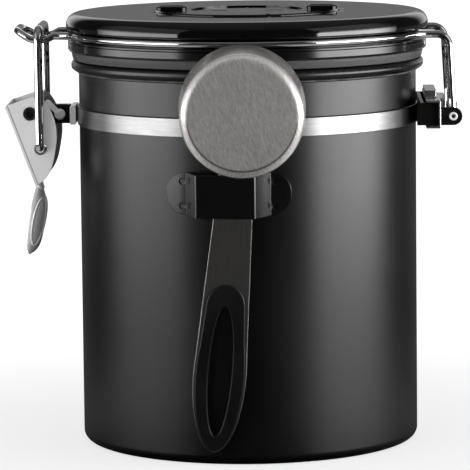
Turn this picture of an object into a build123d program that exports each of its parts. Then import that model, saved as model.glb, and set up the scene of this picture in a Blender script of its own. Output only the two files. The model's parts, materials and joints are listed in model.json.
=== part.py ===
from build123d import *
import os
from math import atan2, cos, degrees, radians, sin, sqrt, tan

# Coffee canister with a bail lid, a lever latch, a one-way valve and a scoop.
# Millimetres. +Z is up, the origin is the middle of the flat base.
# The latch is on -X, the hinge on +X and the scoop on the front, -Y.

# Gaps between pieces
seat_gap = 0.3        # between pieces that move past each other
fit_gap = 0.05        # round a pin, or between clamped pieces
cut_over = 2.0        # how far a cut runs past the face it goes through

# Canister shell
body_diameter = 125.0
body_height = 142.0
body_wall = 0.6
base_round = 3.5
bead_overhang = 2.7
bead_height = 4.8
bead_slope = 1.9
bead_round = 1.5

# Clamp band
band_drop = 20.35     # rim down to the middle of the band
band_height = 6.9
band_thickness = 0.6

# Lid, from the rim upwards
seal_height = 3.1
seal_overhang = 2.5
seal_taper = 0.5
seal_land = 0.8       # how far the seal reaches inside the rim
skirt_height = 4.3
skirt_overhang = 3.8
skirt_line_drop = 0.8
skirt_line_depth = 0.35
skirt_round = 0.9
groove_height = 3.6
groove_overhang = 1.1
cap_height = 6.0
cap_overhang = 4.5
cap_wall = 2.2
cap_round = 4.3
cap_lip_round = 0.6
cap_top = 2.4
collar_wall = 2.2
plate_thickness = 2.2
plug_clearance = 1.3  # between the plug and the shell
plug_straight = 2.8
plug_taper = 3.4
plug_depth = 6.4
plug_wall = 1.6
plug_slots = 12
plug_slot_width = 1.6
rib_count = 8
rib_thickness = 1.6
rib_height = 2.0

# Date dials in the lid
dial_radius = 34.0
dial_rise = 0.6       # above the top of the lid
dial_thickness = 2.2
dial_gap = 0.2
dial_chamfer = 0.45
dial_lip = 2.1
dial_lip_thickness = 0.8
month_radius = 20.3
month_drop = 0.5      # below the top of the day dial
stem_radius = 2.4
stem_groove = 0.5
clip_radius = 5.0
clip_thickness = 0.8
tab_length = 11.5
tab_width = 7.6
tab_height = 1.35
tab_radius = 27.8     # middle of a tab from the dial's centre
tab_round = 0.6
tab_hollow_depth = 0.45
tab_hollow_rim = 1.3
pointer_reach = 2.4
pointer_width = 3.2
pointer_thickness = 0.35
index_width = 1.2
index_length = 6.5
index_depth = 0.35
index_turn = 15.0

# One-way valve in the lid
valve_radius = 13.0
valve_wall = 1.4
valve_flange = 2.2
valve_flange_thickness = 1.2
valve_depth = 6.4     # below the lid's plate
valve_seat_thickness = 1.4
valve_rise = 3.0      # above the lid's plate
vent_count = 6
vent_radius = 1.3
vent_circle = 5.2
flap_radius = 8.6
flap_thickness = 0.9
flap_lift = 0.8
flap_stem_radius = 1.4
flap_bulb_radius = 2.1
flap_bulb_height = 1.8
filter_thickness = 1.6
grille_thickness = 1.2
grille_hole_radius = 0.9
grille_rings = 3
grille_pitch = 3.4
cage_thickness = 1.0
cage_slots = 6
cage_slot_width = 5.0

# Screws of the lid
lid_screw_count = 4
lid_screw_inset = 12.1   # in from the seal
lid_screw_radius = 1.5
lid_screw_head = 2.8
lid_screw_head_height = 1.7
lid_screw_recess = 0.9
boss_radius = 3.4

# Bail wire of the lid
bail_diameter = 2.8
bail_leg_gap = 42.4   # between the middles of the two hinge legs
bail_lean = 1.6       # the legs lean in by this from the hinge to the lid
bail_elbow = 4.5
bail_foot_bend = 1.9
bail_hinge_sweep = 9.0
bail_latch_sweep = 9.0
nose_width = 27.6     # between the middles of the nose's two sides
nose_reach = 23.4     # beyond the shell
nose_saddle = 14.0    # beyond the shell, where the link hooks on
nose_dip = 2.9
nose_rise = 1.8
nose_dip_bend = 9.0
nose_corner = 6.5

# Hinge bracket and its keeper
hinge_reach = 12.9    # pin beyond the shell
hinge_height = 6.6
ear_rise = 1.7        # the ears are this much higher inside the keeper
ear_step = 1.2
bracket_sheet = 1.2
bracket_web_gap = 0.9
keeper_sheet = 0.7
keeper_reach = 7.6    # beyond the shell
keeper_flange = 4.6
keeper_overlap = 1.9  # past each ear
keeper_round = 0.5
stop_width = 25.6
stop_height = 2.5
stop_reach = 3.0

# Latch bracket, its keeper, screw and rivet
latch_sheet = 1.4
latch_width = 5.4     # over both arms
latch_arm_height = 6.9
latch_eye = 3.7       # round the pivot
pivot_rise = 1.35     # above the band's middle
pivot_reach = 17.4    # beyond the shell
latch_keeper_depth = 2.2
latch_keeper_width = 17.0
latch_keeper_edge = 0.5
screw_reach = 7.2     # beyond the shell
screw_radius = 1.2
screw_head_radius = 1.8
screw_head_height = 1.5
screw_slot = 0.6
lock_tab_sheet = 0.8
lock_tab_margin = 0.2
lock_tab_length = 6.2
lock_tab_width = 2.0
lock_tab_turn = 45.0  # degrees up from level
nut_across = 4.2
nut_height = 2.0
rivet_radius = 1.9
rivet_bore = 1.5
rivet_bore_depth = 4.0
rivet_flange = 2.5
rivet_flange_height = 0.35

# Latch lever
lever_sheet = 1.2
lever_inside = 27.8   # between the cheeks
lever_top = 6.1       # above the pivot
lever_drop = 26.8     # pivot down to the neck
lever_back = 9.3      # pivot out to the back corner
lever_front = 10.2    # pivot in to the front edge
lever_corner = 1.0
link_hole_drop = 13.0
link_hole_front = 3.7
link_hole_play = 0.7
tab_neck = 9.0
tab_neck_drop = 3.0
spoon_tip_back = 2.4
spoon_tip_drop = 54.2
spoon_depth = 4.6
spoon_width = 12.6
spoon_curl = 16.0     # degrees past a half turn at each rim
spoon_sheet = 1.0

# Link between the lever and the bail
link_diameter = 3.2
link_gap = 34.7       # between the middles of the link's legs
link_slack = 1.0      # room over the saddle, so that the lever passes its dead centre
link_corner = 4.2
link_foot_bend = 2.0
link_foot = 4.6

# Scoop holder on the front
holder_turn = -5.7    # degrees round from the front
holder_drop = 36.2    # rim down to the holder's top
holder_cup_gap = 1.6  # below the side of the scoop's cup
holder_height = 15.4
holder_sheet = 0.8
holder_span = 44.8    # tip to tip
holder_plate = 21.4
holder_proud = 8.7
holder_slope = 3.7
holder_tip_round = 7.2
holder_bend = 1.2
dimple_radius = 1.1
dimple_depth = 0.3
dimple_pitch = 8.8
dimple_inset = 5.6

# Scoop
cup_mouth = 44.8
cup_base = 43.4
cup_depth = 24.0
cup_wall = 0.8
cup_round = 3.4
cup_lip = 0.5
handle_thickness = 1.0
handle_width = 19.0
handle_neck = 12.2
handle_end = 28.0     # length of the rounded end
handle_length = 102.6 # cup's side down to the tip
handle_tab = 8.0
scoop_tilt = 5.3      # degrees to the side
scoop_lean = 3.2      # degrees forward at the top
scoop_turn = 1.0      # degrees round from the front
scoop_tip_side = -12.4
scoop_tip_gap = 1.0   # in front of the shell
slot_width = 8.3
slot_length = 47.2
slot_middle = 29.8    # up from the tip
grip_edge = 0.7       # steel left outside the grip
grip_rise = 0.7       # grip proud of the steel, each side
grip_lap = 1.4        # steel set back from the slot
grip_length = 61.5
grip_crown = 8.0
grip_round = 0.55
hang_hole_radius = 0.8
hang_hole_inset = 3.6
rivet_dot_radius = 1.6
rivet_dot_height = 0.6

# Sizes worked out from those above
body_radius = body_diameter / 2
inner_radius = body_radius - body_wall
band_z = body_height - band_drop
band_outer = body_radius + fit_gap + band_thickness
seal_bottom = body_height + seat_gap
plate_bottom = seal_bottom + seal_height
skirt_top = plate_bottom + skirt_height
plate_top = plate_bottom + plate_thickness
cap_bottom = skirt_top + groove_height
lid_top = cap_bottom + cap_height
cap_under = lid_top - cap_top
cap_radius = body_radius + cap_overhang
lid_screw_circle = inner_radius - seal_land - lid_screw_inset
skirt_radius = body_radius + skirt_overhang
groove_radius = body_radius + groove_overhang
collar_inner = groove_radius - collar_wall
plug_radius = inner_radius - plug_clearance
bail_radius = bail_diameter / 2
ring_radius = groove_radius + seat_gap + bail_radius
ring_z = (skirt_top + cap_bottom) / 2
leg_y = bail_leg_gap / 2
nose_y = nose_width / 2
hinge_x = body_radius + hinge_reach
hinge_z = band_z
pivot_x = -body_radius - pivot_reach
arm_z = band_z
pivot_z = band_z + pivot_rise
link_radius = link_diameter / 2
link_y = link_gap / 2
link_x = pivot_x + link_hole_front
link_z = pivot_z - link_hole_drop
saddle_x = -body_radius - nose_saddle
saddle_z = ring_z - nose_dip
tip_x = -body_radius - nose_reach + bail_radius
tip_z = ring_z + nose_rise
nose_x = sqrt((ring_radius + bail_latch_sweep) ** 2 - (nose_y + bail_latch_sweep) ** 2)
fall_angle = atan2(ring_z - saddle_z, -nose_x - saddle_x)
climb_angle = atan2(tip_z - saddle_z, saddle_x - tip_x)
half_turn = (fall_angle + climb_angle) / 2
saddle_lift = nose_dip_bend * (1 / cos(half_turn) - 1)
hook_rise = saddle_lift + bail_radius + link_slack + link_radius
hook_lean = (climb_angle - fall_angle) / 2
hook_x = saddle_x + hook_rise * sin(hook_lean)
hook_z = saddle_z + hook_rise * cos(hook_lean)
dial_top = lid_top + dial_rise
dial_bottom = dial_top - dial_thickness
pocket_floor = dial_bottom - dial_gap
pocket_radius = dial_radius + seat_gap
pocket_under = pocket_floor - cap_top
month_top = dial_top - month_drop
holder_top = body_height - holder_drop
holder_bottom = holder_top - holder_height
handle_rise = handle_length * cos(radians(scoop_tilt)) * cos(radians(scoop_lean))
scoop_tip_z = holder_top + holder_cup_gap - handle_rise


def rounded_face(corners):
    """Flat closed outline. A corner with a third value is rounded to that radius."""
    full = [(*corner, 0)[:3] for corner in corners]
    count = len(full)
    arc_starts = []
    arc_ends = []
    arc_middles = []
    for place, (u, v, radius) in enumerate(full):
        here = Vector(u, v)
        to_last = (Vector(*full[place - 1][:2]) - here).normalized()
        to_next = (Vector(*full[(place + 1) % count][:2]) - here).normalized()
        half_angle = radians(to_last.get_angle(to_next)) / 2
        reach = radius / tan(half_angle)
        arc_starts.append(here + to_last * reach)
        arc_ends.append(here + to_next * reach)
        bisector = to_last + to_next
        sag = radius / sin(half_angle) - radius
        arc_middles.append(here + bisector.normalized() * sag if radius else here)
    edges = []
    for place in range(count):
        if full[place][2]:
            edges.append(ThreePointArc(arc_starts[place], arc_middles[place], arc_ends[place]))
        following = arc_starts[(place + 1) % count]
        if (following - arc_ends[place]).length > fit_gap / 100:
            edges.append(Line(arc_ends[place], following))
    return Face(Wire(edges))


def turned(corners):
    """Solid of revolution about Z from an outline of (radius, height) corners."""
    return revolve(Plane.XZ * rounded_face(corners), Axis.Z)


def ring(outer, inner, bottom, top):
    """Plain ring about Z."""
    return turned([(inner, bottom), (outer, bottom), (outer, top), (inner, top)])


def disc(radius, bottom, top):
    """Plain disc about Z."""
    return Pos(0, 0, bottom) * extrude(Circle(radius), amount=top - bottom)


def side_plate(face, middle_y, thickness):
    """Plate square to Y, from an outline of (X, Z) corners."""
    plane = Plane(origin=(0, middle_y, 0), x_dir=(1, 0, 0), z_dir=(0, -1, 0))
    return extrude(plane * face, amount=thickness / 2, both=True)


def cross_pin(radius, x, z, low_y, high_y):
    """Cylinder along Y."""
    plane = Plane(origin=(x, low_y, z), x_dir=(1, 0, 0), z_dir=(0, 1, 0))
    return extrude(plane * Circle(radius), amount=high_y - low_y)


def block(low, high):
    """Box between two corners."""
    size = [b - a for a, b in zip(low, high)]
    middle = [(a + b) / 2 for a, b in zip(low, high)]
    return Pos(*middle) * Box(*size)


def swept_wire(path, radius):
    """Round wire along a path."""
    start = Plane(origin=path @ 0, z_dir=path % 0)
    return sweep(start * Circle(radius), path=path)


def round_pattern(piece, count, start=0.0):
    """Copies of a piece turned about Z."""
    return [Rot(0, 0, start + 360 * place / count) * piece for place in range(count)]


def canister_body():
    """Drawn shell with a rounded foot and a rolled bead round its rim."""
    shell = turned([
        (0, 0), (body_radius, 0, base_round), (body_radius, body_height),
        (inner_radius, body_height), (inner_radius, body_wall, base_round - body_wall),
        (0, body_wall)])
    bead_bottom = body_height - bead_height
    bead = turned([
        (body_radius - body_wall / 2, bead_bottom), (body_radius, bead_bottom),
        (body_radius + bead_overhang, bead_bottom + bead_slope, bead_round),
        (body_radius + bead_overhang, body_height, bead_round),
        (body_radius - body_wall / 2, body_height)])
    return shell + bead


def clamp_band():
    """Flat hoop round the shell that carries the hinge and the latch."""
    low = band_z - band_height / 2
    high = band_z + band_height / 2
    rim = band_thickness / 3
    inner = body_radius + fit_gap
    return turned([
        (inner, low), (band_outer, low, rim), (band_outer, high, rim), (inner, high)])


def hinge_bracket():
    """Bent strap whose two ears hold the feet of the bail wire."""
    ear_y = leg_y + bail_foot_bend + fit_gap + bracket_sheet / 2
    low = hinge_z - hinge_height / 2
    high = hinge_z + hinge_height / 2
    web_x = body_radius + bracket_web_gap
    root_x = web_x - bracket_sheet
    step_x = body_radius + keeper_reach - seat_gap
    top = high + ear_rise
    ear = rounded_face([
        (root_x, low), (hinge_x + hinge_height / 2, low, hinge_height / 2 - fit_gap),
        (hinge_x + hinge_height / 2, high, hinge_height / 2 - fit_gap),
        (step_x, high, bracket_sheet / 4), (step_x, top, ear_step), (root_x, top, ear_step)])
    strap = block((web_x, -ear_y, low), (web_x + bracket_sheet, ear_y, high + ear_rise))
    for side in (-1, 1):
        strap += side_plate(ear, side * ear_y, bracket_sheet)
    reach = ear_y + bracket_sheet
    strap -= cross_pin(bail_radius + fit_gap, hinge_x, hinge_z, -reach, reach)
    return strap


def hinge_keeper():
    """Channel that the ears pass through, which clips the bracket to the band."""
    ear_y = leg_y + bail_foot_bend + fit_gap + bracket_sheet / 2
    half_length = ear_y + bracket_sheet / 2 + keeper_overlap
    outer_x = body_radius + keeper_reach + keeper_sheet
    inner_x = outer_x - keeper_sheet
    back_x = inner_x - keeper_flange
    low = hinge_z - hinge_height / 2 - seat_gap - keeper_sheet
    ear_high = hinge_z + hinge_height / 2
    high = ear_high + ear_rise + seat_gap + keeper_sheet
    profile = rounded_face([
        (back_x, low), (outer_x, low, keeper_round), (outer_x, high, keeper_round),
        (back_x, high), (back_x, high - keeper_sheet), (inner_x, high - keeper_sheet),
        (inner_x, low + keeper_sheet), (back_x, low + keeper_sheet)])
    channel = side_plate(profile, 0, 2 * half_length)
    for side in (-1, 1):
        half_slot = bracket_sheet / 2 + fit_gap * 2
        channel -= block(
            (inner_x - cut_over, side * ear_y - half_slot, low + keeper_sheet + fit_gap),
            (outer_x + cut_over, side * ear_y + half_slot, ear_high + seat_gap))
    channel += block(
        (back_x, -stop_width / 2, high - keeper_sheet),
        (inner_x - keeper_round, stop_width / 2, high + stop_height))
    channel += block(
        (inner_x, -stop_width / 2, hinge_z + hinge_height / 4),
        (outer_x + stop_reach - keeper_sheet, stop_width / 2, high - keeper_round))
    return channel


def latch_bracket():
    """Narrow strap folded in two, whose arms carry the lever's pivot."""
    arm_y = latch_width / 2 - latch_sheet / 2
    low = arm_z - latch_arm_height / 2
    high = arm_z + latch_arm_height / 2
    web_x = -band_outer - seat_gap - latch_keeper_depth - fit_gap
    arm = rounded_face([
        (web_x, low), (pivot_x, low, latch_sheet), (pivot_x, high, latch_sheet), (web_x, high)])
    strap = block((web_x - latch_sheet, -arm_y, low), (web_x, arm_y, high))
    for side in (-1, 1):
        inner = side * arm_y - latch_sheet / 2
        strap += side_plate(arm, side * arm_y, latch_sheet)
        strap += cross_pin(latch_eye, pivot_x, pivot_z, inner, inner + latch_sheet)
    reach = arm_y + latch_sheet
    strap -= cross_pin(rivet_radius + fit_gap, pivot_x, pivot_z, -reach, reach)
    strap -= cross_pin(screw_radius + fit_gap, -body_radius - screw_reach, arm_z, -reach, reach)
    return strap


def latch_keeper():
    """Bright block between the band and the latch bracket."""
    inner_x = -band_outer - seat_gap
    low = arm_z - latch_arm_height / 2
    high = arm_z + latch_arm_height / 2
    edge = latch_keeper_edge
    profile = rounded_face([
        (inner_x - latch_keeper_depth, low, edge), (inner_x, low, edge), (inner_x, high, edge),
        (inner_x - latch_keeper_depth, high, edge)])
    return side_plate(profile, 0, latch_keeper_width)


def lock_tab():
    """Tab washer under the screw's head; its tongue points up to the lever."""
    x = -body_radius - screw_reach
    face = Circle(screw_head_radius + lock_tab_margin)
    tongue = Pos(-lock_tab_length / 2, 0) * Rectangle(lock_tab_length, lock_tab_width)
    end = Pos(-lock_tab_length, 0) * Circle(lock_tab_width / 2)
    outline = Rot(0, 0, -lock_tab_turn) * (face + tongue + end) - Circle(screw_radius + fit_gap)
    plane = Plane(origin=(x, -latch_width / 2 - fit_gap, arm_z), x_dir=(1, 0, 0), z_dir=(0, -1, 0))
    return extrude(plane * outline, amount=lock_tab_sheet)


def latch_screw():
    """Slotted clamp screw through both arms."""
    front = latch_width / 2 + lock_tab_sheet + fit_gap * 2
    x = -body_radius - screw_reach
    shank = cross_pin(screw_radius, x, arm_z, -front, latch_width / 2 + nut_height + fit_gap * 2)
    head_profile = rounded_face([
        (0, 0), (screw_head_radius, 0), (screw_head_radius, screw_head_height, screw_head_height / 2),
        (0, screw_head_height)])
    head = revolve(Plane.XZ * head_profile, Axis.Z)
    slot = block(
        (-screw_head_radius * 2, -screw_slot / 2, screw_head_height - screw_slot),
        (screw_head_radius * 2, screw_slot / 2, screw_head_height + cut_over))
    head -= Rot(0, 0, lock_tab_turn) * slot
    placed = Pos(x, -front, arm_z) * Rot(90, 0, 0) * head
    return shank + placed


def latch_nut():
    """Hexagon nut of the clamp screw."""
    x = -body_radius - screw_reach
    plane = Plane(origin=(x, latch_width / 2 + fit_gap, arm_z), x_dir=(1, 0, 0), z_dir=(0, 1, 0))
    hexagon = RegularPolygon(nut_across / 2, 6, major_radius=False, rotation=30)
    return extrude(plane * (hexagon - Circle(screw_radius + fit_gap)), amount=nut_height)


def lever_rivet():
    """Hollow rivet that the lever turns on, rolled over at both ends."""
    half = lever_inside / 2 + lever_sheet + fit_gap
    end = half + rivet_flange_height
    barrel = cross_pin(rivet_radius, pivot_x, pivot_z, -half, half)
    for low in (-end, half):
        barrel += cross_pin(rivet_flange, pivot_x, pivot_z, low, low + rivet_flange_height)
    for low, high in ((-end - cut_over, rivet_bore_depth - end), (end - rivet_bore_depth, end + cut_over)):
        barrel -= cross_pin(rivet_bore, pivot_x, pivot_z, low, high)
    return barrel


def hat_outline(setback):
    """Top view of the raised part, pushed in by setback from its outer face."""
    front = body_radius + holder_proud + holder_sheet
    base = inner_radius - holder_slope
    splay = atan2(holder_slope, holder_proud)
    side_shift = setback / cos(splay)
    front_half = holder_plate / 2 - side_shift + setback * tan(splay)
    base_half = holder_plate / 2 + (front - base) * tan(splay) - side_shift
    bend = holder_bend - setback
    return rounded_face([
        (-base_half, -base), (-front_half, setback - front, bend),
        (front_half, setback - front, bend), (base_half, -base)])


def scoop_holder():
    """Hat-shaped strap on the front of the shell that holds the scoop's handle."""
    low = holder_bottom
    middle = holder_bottom + holder_height / 2
    wing_outer = body_radius + fit_gap + holder_sheet
    tall = holder_height + 2 * cut_over
    hat = Pos(0, 0, low) * extrude(hat_outline(0), amount=holder_height)
    room = Pos(0, 0, low - cut_over) * extrude(hat_outline(holder_sheet), amount=tall)
    wings = ring(wing_outer, body_radius + fit_gap, low, low + holder_height)
    strap = wings + hat - room - disc(body_radius + fit_gap, low - cut_over, low + tall)
    trim = rounded_face([
        (-holder_span / 2, low, holder_tip_round), (holder_span / 2, low, holder_tip_round),
        (holder_span / 2, low + holder_height, holder_tip_round),
        (-holder_span / 2, low + holder_height, holder_tip_round)])
    trim_plane = Plane(origin=(0, 0, 0), x_dir=(1, 0, 0), z_dir=(0, -1, 0))
    strap &= extrude(trim_plane * trim, amount=body_diameter)
    turn = degrees((holder_span / 2 - dimple_inset) / wing_outer)
    for side in (-turn, turn):
        for step in (-dimple_pitch / 2, dimple_pitch / 2):
            spot = Pos(0, dimple_depth - wing_outer, middle + step) * Rot(90, 0, 0)
            strap -= Rot(0, 0, side) * spot * extrude(Circle(dimple_radius), amount=cut_over)
    return Rot(0, 0, holder_turn) * strap


def lid_cap():
    """Glossy cover of the lid, with the pocket that the dials turn in."""
    stem_hole = stem_radius + seat_gap
    cap = turned([
        (stem_hole, pocket_floor), (pocket_radius, pocket_floor), (pocket_radius, lid_top),
        (cap_radius, lid_top, cap_round), (cap_radius, cap_bottom, cap_lip_round),
        (cap_radius - cap_wall, cap_bottom), (cap_radius - cap_wall, cap_under),
        (pocket_radius + cap_wall, cap_under), (pocket_radius + cap_wall, pocket_under),
        (stem_hole, pocket_under)])
    boss = disc(boss_radius, plate_top + fit_gap, cap_under)
    hole = disc(lid_screw_radius - fit_gap, plate_top, cap_under - fit_gap)
    for turned_boss in round_pattern(Pos(lid_screw_circle, 0, 0) * (boss - hole), lid_screw_count, 45):
        cap += turned_boss
    return cap


def lid_base():
    """Lower half of the lid: skirt, wire groove, plate and the plug inside the rim."""
    line_z = skirt_top - skirt_line_drop
    line_low = line_z - skirt_line_depth
    base = turned([
        (valve_radius + fit_gap, plate_bottom), (skirt_radius, plate_bottom, skirt_round),
        (skirt_radius, line_low), (skirt_radius - skirt_line_depth, line_z - skirt_line_depth / 2),
        (skirt_radius, line_z), (skirt_radius, skirt_top, skirt_line_depth),
        (groove_radius, skirt_top), (groove_radius, cap_under - fit_gap),
        (collar_inner, cap_under - fit_gap), (collar_inner, plate_top),
        (valve_radius + fit_gap, plate_top)])
    plug_low = plate_bottom - plug_depth
    shoulder = plate_bottom - plug_straight
    plug = turned([
        (plug_radius - plug_wall, plate_bottom + fit_gap), (plug_radius, plate_bottom + fit_gap),
        (plug_radius, shoulder), (plug_radius - plug_taper, plug_low),
        (plug_radius - plug_taper - plug_wall, plug_low), (plug_radius - plug_wall, shoulder)])
    slot = block(
        (plug_radius - plug_taper - 2 * plug_wall, -plug_slot_width / 2, plug_low - cut_over),
        (plug_radius + cut_over, plug_slot_width / 2, shoulder - fit_gap))
    for cut in round_pattern(slot, plug_slots):
        plug -= cut
    base += plug
    rib = block(
        (valve_radius + valve_flange, -rib_thickness / 2, plate_top - fit_gap),
        (collar_inner + fit_gap, rib_thickness / 2, plate_top + rib_height))
    for copy in round_pattern(rib, rib_count, 180 / rib_count):
        base += copy
    screw_hole = Pos(lid_screw_circle, 0, 0) * disc(
        lid_screw_radius + fit_gap, plate_bottom - cut_over, plate_top + rib_height + cut_over)
    for cut in round_pattern(screw_hole, lid_screw_count, 45):
        base -= cut
    return base


def lid_seal():
    """Silicone ring between the lid and the rim."""
    inner = inner_radius - seal_land
    outer = body_radius + seal_overhang
    return turned([
        (inner, seal_bottom), (outer - seal_taper, seal_bottom, seal_taper),
        (outer, plate_bottom - seal_height / 3), (outer, plate_bottom), (inner, plate_bottom)])


def lid_screws():
    """Screws that join the two halves of the lid from below."""
    head_bottom = plate_bottom - lid_screw_head_height
    head = turned([
        (0, head_bottom), (lid_screw_head, head_bottom, lid_screw_head_height / 2),
        (lid_screw_head, plate_bottom - fit_gap), (0, plate_bottom - fit_gap)])
    slot = lid_screw_recess / 2
    for turn in (0, 90):
        head -= Rot(0, 0, turn) * block(
            (-lid_screw_radius, -slot, head_bottom - cut_over),
            (lid_screw_radius, slot, head_bottom + lid_screw_recess))
    shank = disc(lid_screw_radius - fit_gap * 2, plate_bottom - fit_gap * 2, cap_under - cap_top / 2)
    screw = Pos(lid_screw_circle, 0, 0) * (head + shank)
    return Compound(children=round_pattern(screw, lid_screw_count, 45))


def bail_wire():
    """One wire: hinge feet, legs, the ring in the lid's groove and the latch nose."""
    foot_end = leg_y + bail_foot_bend + bracket_sheet - fit_gap
    sweep_x = sqrt((ring_radius + bail_hinge_sweep) ** 2 - (leg_y + bail_hinge_sweep) ** 2)
    leg_top_x = hinge_x - bail_lean
    legs = FilletPolyline(
        (hinge_x, -foot_end, hinge_z), (hinge_x, -leg_y, hinge_z), (leg_top_x, -leg_y, ring_z),
        (sweep_x, -leg_y, ring_z), radius=[bail_foot_bend, bail_elbow])
    plane = Plane(origin=(0, 0, ring_z))
    hinge_turn = degrees(atan2(leg_y + bail_hinge_sweep, sweep_x))
    latch_turn = degrees(atan2(nose_y + bail_latch_sweep, nose_x))
    hinge_arc = Pos(sweep_x, -leg_y - bail_hinge_sweep, ring_z) * CenterArc(
        (0, 0), bail_hinge_sweep, 90, 90 - hinge_turn)
    ring_arc = plane * CenterArc((0, 0), ring_radius, -hinge_turn, -(180 - hinge_turn - latch_turn))
    latch_arc = Pos(-nose_x, -nose_y - bail_latch_sweep, ring_z) * CenterArc(
        (0, 0), bail_latch_sweep, latch_turn, 90 - latch_turn)
    nose = FilletPolyline(
        (-nose_x, -nose_y, ring_z), (saddle_x, -nose_y, saddle_z), (tip_x, -nose_y, tip_z),
        (tip_x, 0, tip_z), radius=[nose_dip_bend, nose_corner])
    half = [*legs.edges(), *hinge_arc.edges(), *ring_arc.edges(), *latch_arc.edges(), *nose.edges()]
    half_wire = Wire(half)
    section = Plane(origin=(hinge_x, -foot_end, hinge_z), x_dir=(1, 0, 0), z_dir=(0, 1, 0))
    wire = sweep(section * Circle(bail_radius), path=half_wire)
    return wire + mirror(wire, about=Plane.XZ)


def valve_housing():
    """Cup of the one-way valve, pushed through the lid's plate from below."""
    low = plate_bottom - valve_depth
    top = plate_top + valve_rise
    inner = valve_radius - valve_wall
    seat_low = plate_bottom
    seat_top = seat_low + valve_seat_thickness
    stem_hole = flap_stem_radius + seat_gap
    cup = turned([
        (inner, low), (valve_radius, low), (valve_radius, plate_bottom - valve_flange_thickness - fit_gap),
        (valve_radius + valve_flange, plate_bottom - valve_flange_thickness - fit_gap),
        (valve_radius + valve_flange, plate_bottom - fit_gap), (valve_radius, plate_bottom - fit_gap),
        (valve_radius, top), (inner, top), (inner, seat_top), (stem_hole, seat_top),
        (stem_hole, seat_low), (inner, seat_low)])
    vent = Pos(vent_circle, 0, 0) * disc(vent_radius, seat_low - cut_over, seat_top + cut_over)
    for cut in round_pattern(vent, vent_count):
        cup -= cut
    return cup


def valve_flap():
    """Rubber umbrella: it lifts off the vents when gas pushes from below."""
    seat_low = plate_bottom
    seat_top = seat_low + valve_seat_thickness
    flap_low = seat_top + fit_gap
    bulb_top = seat_low - flap_lift - seat_gap
    return turned([
        (0, bulb_top - flap_bulb_height), (flap_bulb_radius / 2, bulb_top - flap_bulb_height),
        (flap_bulb_radius, bulb_top), (flap_stem_radius, bulb_top),
        (flap_stem_radius, flap_low), (flap_radius, flap_low),
        (flap_radius, flap_low + flap_thickness / 2), (flap_stem_radius, flap_low + flap_thickness),
        (0, flap_low + flap_thickness)])


def valve_cage():
    """Slotted cap over the flap that lets the gas out and keeps the flap in."""
    inner = valve_radius - valve_wall - fit_gap
    low = plate_bottom + valve_seat_thickness + fit_gap
    top = plate_top + valve_rise
    under = low + flap_thickness + flap_lift + seat_gap * 2
    crown = max(top, under) + cage_thickness
    cage = turned([
        (flap_radius + seat_gap * 2, low), (inner, low), (inner, crown), (0, crown),
        (0, crown - cage_thickness), (flap_radius + seat_gap * 2, crown - cage_thickness)])
    slot = block(
        (vent_circle, -cage_slot_width / 2, crown - cage_thickness - cut_over),
        (vent_circle + vent_radius * 2, cage_slot_width / 2, crown + cut_over))
    for cut in round_pattern(slot, cage_slots):
        cage -= cut
    return cage


def valve_filter():
    """Thin felt disc that keeps the grounds away from the flap."""
    top = plate_bottom - valve_depth + grille_thickness + filter_thickness
    return disc(valve_radius - valve_wall - fit_gap, top - filter_thickness, top)


def valve_grille():
    """Perforated disc that snaps into the bottom of the valve's cup."""
    low = plate_bottom - valve_depth
    plate = disc(valve_radius - valve_wall - fit_gap, low, low + grille_thickness)
    hole = disc(grille_hole_radius, low - cut_over, low + grille_thickness + cut_over)
    plate -= hole
    for row in range(1, grille_rings + 1):
        for cut in round_pattern(Pos(grille_pitch * row, 0, 0) * hole, 6 * row):
            plate -= cut
    return plate


def day_dial():
    """Outer dial with its two finger tabs, pointers and index mark."""
    inner = month_radius + seat_gap
    dial = turned([
        (inner - dial_lip, dial_bottom), (dial_radius, dial_bottom),
        (dial_radius, dial_top - dial_chamfer), (dial_radius - dial_chamfer, dial_top),
        (inner, dial_top), (inner, dial_bottom + dial_lip_thickness),
        (inner - dial_lip, dial_bottom + dial_lip_thickness)])
    tab = extrude(RectangleRounded(tab_length, tab_width, tab_width / 3), amount=tab_height + fit_gap)
    tab = fillet(tab.faces().sort_by(Axis.Z)[-1].edges(), tab_round)
    hollow = RectangleRounded(
        tab_length - 2 * tab_hollow_rim, tab_width - 2 * tab_hollow_rim, tab_width / 3 - tab_hollow_rim / 2)
    tab -= Pos(0, 0, tab_height + fit_gap - tab_hollow_depth) * extrude(hollow, amount=cut_over)
    point = Polygon(
        (0, -pointer_width / 2), (pointer_reach, 0), (0, pointer_width / 2), (-pointer_reach, 0), align=None)
    point_low = lid_top + dial_rise - pointer_thickness
    pointer = Pos(dial_radius - dial_chamfer, 0, point_low) * extrude(
        point, amount=pointer_thickness - fit_gap)
    for turn in (0, 180):
        dial += Rot(0, 0, turn) * (Pos(tab_radius, 0, dial_top - fit_gap) * tab)
        dial += Rot(0, 0, turn) * pointer
    index = Pos(dial_radius - index_length / 2 + index_width, 0, dial_top - index_depth) * extrude(
        SlotOverall(index_length, index_width), amount=cut_over)
    dial -= Rot(0, 0, -90 + index_turn) * index
    return dial


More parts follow.
